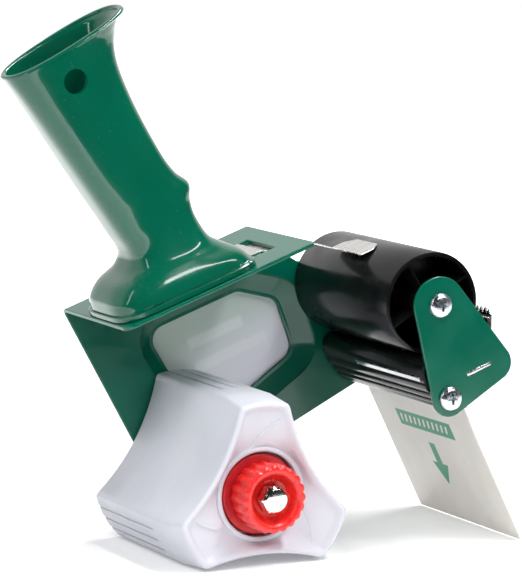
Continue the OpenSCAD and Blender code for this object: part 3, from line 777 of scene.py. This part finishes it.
def grown(made, tree, **inputs):
    """Run a tree on an object and keep the plain mesh."""
    modifier = made.modifiers.new(tree.name, "NODES")
    modifier.node_group = tree
    for item in tree.interface.items_tree:
        if item.in_out == "INPUT" and item.name in inputs:
            modifier[item.identifier] = inputs[item.name]
    return applied(made)


def recess_arm(turned):
    """Tapered bar that cuts one arm of a cross recess."""
    rings = []
    for length, width, height in [(0.9, 0.36, 0.5), (2.7, 0.62, 3.2)]:
        corners = [(-length, -width), (length, -width), (length, width), (-length, width)]
        rings.append([(y, x, height) if turned else (x, y, height) for x, y in corners])
    return loft("arm", rings, local)


def screw_shape():
    """Pan head with a cross recess, head up."""
    profile = [
        (0.05, -10), (1.8, -10), (2, -9.6), (2, 0), (4.45, 0), (4.7, 0.2), (4.75, 0.6), (4.62, 1.15),
        (4.25, 1.7), (3.6, 2.15), (2.7, 2.45), (1.5, 2.57), (0.05, 2.6),
    ]
    screw = loft("pan_screw", [[(x, y, h) for x, y in circle(r, 56)] for r, h in profile], local)
    for turned in (False, True):
        arm = recess_arm(turned)
        cut = screw.modifiers.new("recess", "BOOLEAN")
        cut.operation, cut.object, cut.solver = "DIFFERENCE", arm, "EXACT"
        applied(screw)
        bpy.data.objects.remove(arm)
    return screw


def fasten(name, shape, places, tree, node):
    """Zinc fasteners at (point, facing) places, as one piece."""
    made = mesh_object(name, [p for p, facing in places], [], recalculate=False)
    facing = made.data.attributes.new("facing", "FLOAT_VECTOR", "POINT")
    facing.data.foreach_set("vector", [c for p, way in places for c in way])
    grown(made, tree, Fastener=shape, Material=FINISHES["zinc"])
    hand_over(made, "base", "zinc", [node], 35)


def build_fasteners():
    """Screws of the two plates' rods, and those that hold the handle from below."""
    tree = fastener_tree()
    shape = screw_shape()
    plate = []
    for x, z in [(ROLLER_X, ROLLER_Z), (ROD_X, ROD_Z)]:
        plate.append((leaned(x, END_Y, z), (0, -1, 0)))
        plate.append((leaned(x, SIDE_Y, z), (0, 1, 0)))
    fasten("plate_pan_screws", shape, plate, tree, "plate_screws")
    down = (math.sin(LEAN), 0, -math.cos(LEAN))
    foot = []
    for side in (-1, 1):
        along = FOOT_BACK + FOOT_LEN / 2 + side * 16
        foot.append((leaned(along, FOOT_MID, PLATE_TOP - 1.5), down))
    fasten("handle_pan_screws", shape, foot, tree, "handle_screws")
    bpy.data.objects.remove(shape)


def build_roller():
    """Thin drum on a boss, with its spokes set round the axis."""
    near, far, wall = 0.8, 77.6, 1.8
    inner, boss, bore = ROLLER_R - wall, 6.7, 4.56

    def tube(name, profile, count):
        """Closed ring with a profile of (radius, y)."""
        rings = [[(ROLLER_X + x, y, ROLLER_Z + z) for x, z in circle(r, count)] for r, y in profile]
        return loft(name, rings, leaned, round_trip=True)

    drum = tube("roller_drum", [
        (inner + 0.35, near), (ROLLER_R - 0.5, near),
        (ROLLER_R - 0.15, near + 0.15), (ROLLER_R, near + 0.5),
        (ROLLER_R, far - 0.5), (ROLLER_R - 0.15, far - 0.15),
        (ROLLER_R - 0.5, far), (inner + 0.35, far),
        (inner, far - 0.35), (inner - 0.15, 39), (inner, near + 0.35),
    ], 160)
    hand_over(drum, "roller", "black_plastic", ["roller"], 40)
    core = tube("roller_core", [
        (bore, near + 0.6), (boss - 0.3, near + 0.6), (boss, near + 0.9), (boss, far - 2.3),
        (boss - 0.3, far - 2), (bore, far - 2),
    ], 64)
    hand_over(core, "roller", "black_plastic", [], 40)
    low, high = boss - 0.4, inner + 0.3
    rings = []
    for y, half in [(near + 2.2, 0.35), (near + 2.6, 0.6), (far - 3.4, 0.6), (far - 3, 0.35)]:
        rings.append([(low, y, -half), (high, y, -half), (high, y, half), (low, y, half)])
    spoke = loft("roller_spokes", rings, local)
    grown(
        spoke, AROUND, Count=4, Start=math.radians(-10) - LEAN,
        Centre=leaned(ROLLER_X, 0, ROLLER_Z), Material=FINISHES["black_plastic"],
    )
    hand_over(spoke, "roller", "black_plastic", [], 40)


def build_hub_ribs():
    """Inner ribs that carry the hub's boss."""
    low, high = HUB_BOSS_R - 0.4, HUB_R - 1.4
    rings = []
    for y, half in [(13.3, 0.8), (74.6, 0.8), (75, 0.5)]:
        rings.append([(low, y, -half), (high, y, -half), (high, y, half), (low, y, half)])
    rib = loft("hub_ribs", rings, local)
    grown(rib, AROUND, Count=3, Start=math.radians(-90), Centre=AXLE, Material=FINISHES["white_plastic"])
    hand_over(rib, "hub", "white_plastic", [], 40)


def build_guide_flank():
    """Ribs moulded along the tape guide's rear flank, and its bright wear strip."""
    def bar(name, outline, low, high):
        """Bar on the flank, from an outline of (down the flank, out from it)."""
        section = []
        for s, h in outline:
            x = FLANK_X + FLANK_DOWN[0] * s + FLANK_OUT[0] * h
            section.append((x, FLANK_Z + FLANK_DOWN[1] * s + FLANK_OUT[1] * h))
        return loft(name, [[(x, y, z) for x, z in section] for y in (low, high)], leaned)

    strip = [(-1.7, -0.7), (-1.7, 0.3), (-1.5, 0.42), (0.4, 0.42), (0.6, 0.3), (0.6, -0.7)]
    hand_over(bar("guide_wear_strip", strip, -2, 49), "base", "bracket_steel", [], 30)
    ribs = [(1.2, -0.4)]
    for low, wide, high in [(1.2, 4.8, 0.8), (6.1, 3.2, 0.6), (9.4, 2.4, 0.5)]:
        ribs += [(low + wide * k / 12, high * math.sin(math.pi * k / 12) ** 0.8) for k in range(13)]
    ribs.append((11.8, -0.4))
    hand_over(bar("guide_ribs", ribs, -4, 77), "base", "black_plastic", [], 24)


def build_stop_nut():
    """Blind hex nut with a turned face."""
    rings = []
    for y, cone in [
        (NUT_FRONT + 1, NUT_BORE), (NUT_BACK, NUT_BORE), (NUT_BACK, 9), (NUT_FRONT + 1.5, 9),
        (NUT_FRONT + 0.9, 5.1), (NUT_FRONT + 0.35, 4.5), (NUT_FRONT + 0.1, 4.25), (NUT_FRONT, 3.95),
    ]:
        ring = []
        for k in range(72):
            a = WHOLE * k / 72
            r = min(NUT_HALF / math.cos(a % (WHOLE / 6) - WHOLE / 12), cone)
            ring.append((r * math.cos(a), y, r * math.sin(a)))
        rings.append(ring)
    made = loft("stop_hex", rings, upright)
    hand_over(made, "base", "bright_nickel", ["stop_nut"], 28)


# Pieces that keep a frame node's shape, with its edges eased:
# piece, node, body, slot, width of the easing in millimetres, and its steps where not 2
EASED = [
    ("side_frame", "frame", "base", "green_enamel", 0.32, 3),
    ("end_cheek", "end_plate", "base", "green_enamel", 0.35, 3),
    ("window_pane", "window_panel", "base", "frosted_panel", 0.25),
    ("leaf_anchor", "leaf_clip", "base", "spring_steel", 0.12),
    ("leaf_tab", "leaf_tongue", "leaf", "spring_steel", 0.14),
    ("pressure_plate", "pressure_disc", "disc", "dark_red_plastic", 0.3),
    ("axle_hex", "axle_nut", "base", "zinc", 0.25),
    ("tie_bar", "tie_rod", "base", "chrome", 0.2),
    ("tape_guide", "guide_bar", "base", "black_plastic", 0.3),
    ("cutter_bracket", "blade_bracket", "base", "bracket_steel", 0.2),
    ("cutter_blade", "blade", "base", "blade_steel", 0.08, 1),
    ("wiper_rail", "film_rail", "base", "clear_film", 0.15),
    ("wiper_film", "film_flap", "flap", "clear_film", 0.15),
]
# Frame nodes that are shown as they are
BARE = {
    "hub_sleeve": "zinc", "axle_stud": "zinc", "axle_washer": "zinc", "knob_insert": "brass",
    "brake_spring": "spring_steel", "roller_axle": "zinc", "roller_washers": "zinc",
    "blade_rivets": "zinc", "rail_rivets": "zinc",
}

AROUND = around_tree()
build_handle()
build_hub()
build_hub_steps()
build_guide_flank()
build_stop_nut()
build_hub_ribs()
build_knob()
build_roller()
build_fasteners()
for row in EASED:
    eased(*row)
for node, slot in BARE.items():
    frame["nodes"][node].data.materials.clear()
    frame["nodes"][node].data.materials.append(FINISHES[slot])

# ---- Floor, light and camera ----


def build_floor():
    """Pale floor that ends in front of the object, and glows white away from it."""
    mesh = bpy.data.meshes.new("floor")
    wide, front, back = 3.0, -0.35, 3.0
    corners = [(-wide, front, 0), (wide, front, 0), (wide, back, 0), (-wide, back, 0)]
    mesh.from_pydata(corners, [], [(0, 1, 2, 3)])
    floor = new_object("floor", mesh)
    floor.location.z = -0.0004
    f = Finish("pale_floor", Roughness=0.9, Emission_Strength=1.0)
    x, y, z = f.axes(f.where())
    sides = f.rise(abs(x), 0.5, 1.0).above(f.rise(0 - y, 0.18, 0.33))
    far = f.rise(y - x * 0.5, 0.15, 0.6).above(sides)
    f.set(Emission_Color=f.mix((0.14, 0.14, 0.14), (1.0, 1.0, 1.0), far))
    f.clouded((0.90, 0.90, 0.90), (0.92, 0.92, 0.92), 3)
    mesh.materials.append(f.material)


def softbox(name, at, target, size, power, glossy):
    """Rectangular lamp aimed at a point, unseen by the camera."""
    light = bpy.data.lights.new(name, "AREA")
    light.shape, light.size, light.size_y, light.energy = "RECTANGLE", size[0], size[1], power
    made = new_object(name, light)
    made.location = at
    made.rotation_euler = (Vector(target) - Vector(at)).to_track_quat("-Z", "Y").to_euler()
    made.visible_glossy = glossy
    made.visible_camera = False


def build_sky():
    """White to the camera, pale behind and dark in front to reflections, and dim to all else."""
    world = bpy.context.scene.world or bpy.data.worlds.new("studio")
    bpy.context.scene.world = world
    world.use_nodes = True
    sky = Finish(None, tree=world.node_tree)
    way = sky.node("ShaderNodeTexCoord")
    x, y, z = sky.axes(way)
    back = sky.rise(y - x * 0.15, -0.15, 0.4)
    seen = sky.node("ShaderNodeLightPath")
    shine = Value(sky, seen.socket.node.outputs["Is Glossy Ray"])
    strength = seen + shine * (0.02 + back * 0.85) + (1 - seen) * (1 - shine) * 0.30
    glow = sky.node("ShaderNodeBackground", values={0: (1, 1, 1), 1: strength})
    out = sky.tree.nodes.new("ShaderNodeOutputWorld")
    sky.tree.links.new(glow.socket, out.inputs[0])


# Lamps: name, place, target, size, power and whether reflections show it
LAMPS = [
    ("key_left", (-0.9, -0.8, 1.3), (0, 0, 0.08), (0.7, 0.7), 13, False),
    ("fill_front", (0.2, -1.6, 0.7), (0, 0, 0.08), (1.2, 0.9), 2.5, False),
    ("strip_front", (0.50, -0.85, 0.78), (0, 0, 0.10), (0.9, 0.07), 3.2, True),
    ("overhead", (0.45, -0.10, 1.2), (0.05, 0, 0.08), (1.5, 0.13), 21, True),
    ("strip_left", (-1.1, -0.5, 0.75), (0, 0, 0.12), (0.10, 0.9), 1.5, True),
]
# Where the camera stands, in millimetres from the axle, and the way it looks
CAMERA_AT, CAMERA_WAY = (-570.9, -1145.3, 249.7), (0.4409, 0.8877, -0.1326)

build_floor()
build_sky()
for lamp in LAMPS:
    softbox(*lamp)
bpy.context.scene.view_settings.view_transform = "Standard"

camera = new_object("camera", bpy.data.cameras.new("camera"))
camera.data.lens, camera.data.sensor_width = 216.0, 36.0
camera.data.clip_start, camera.data.clip_end = 0.1, 30.0
camera.location = upright(*CAMERA_AT)
camera.rotation_euler = Vector(CAMERA_WAY).to_track_quat("-Z", "Y").to_euler()
bpy.context.scene.camera = camera
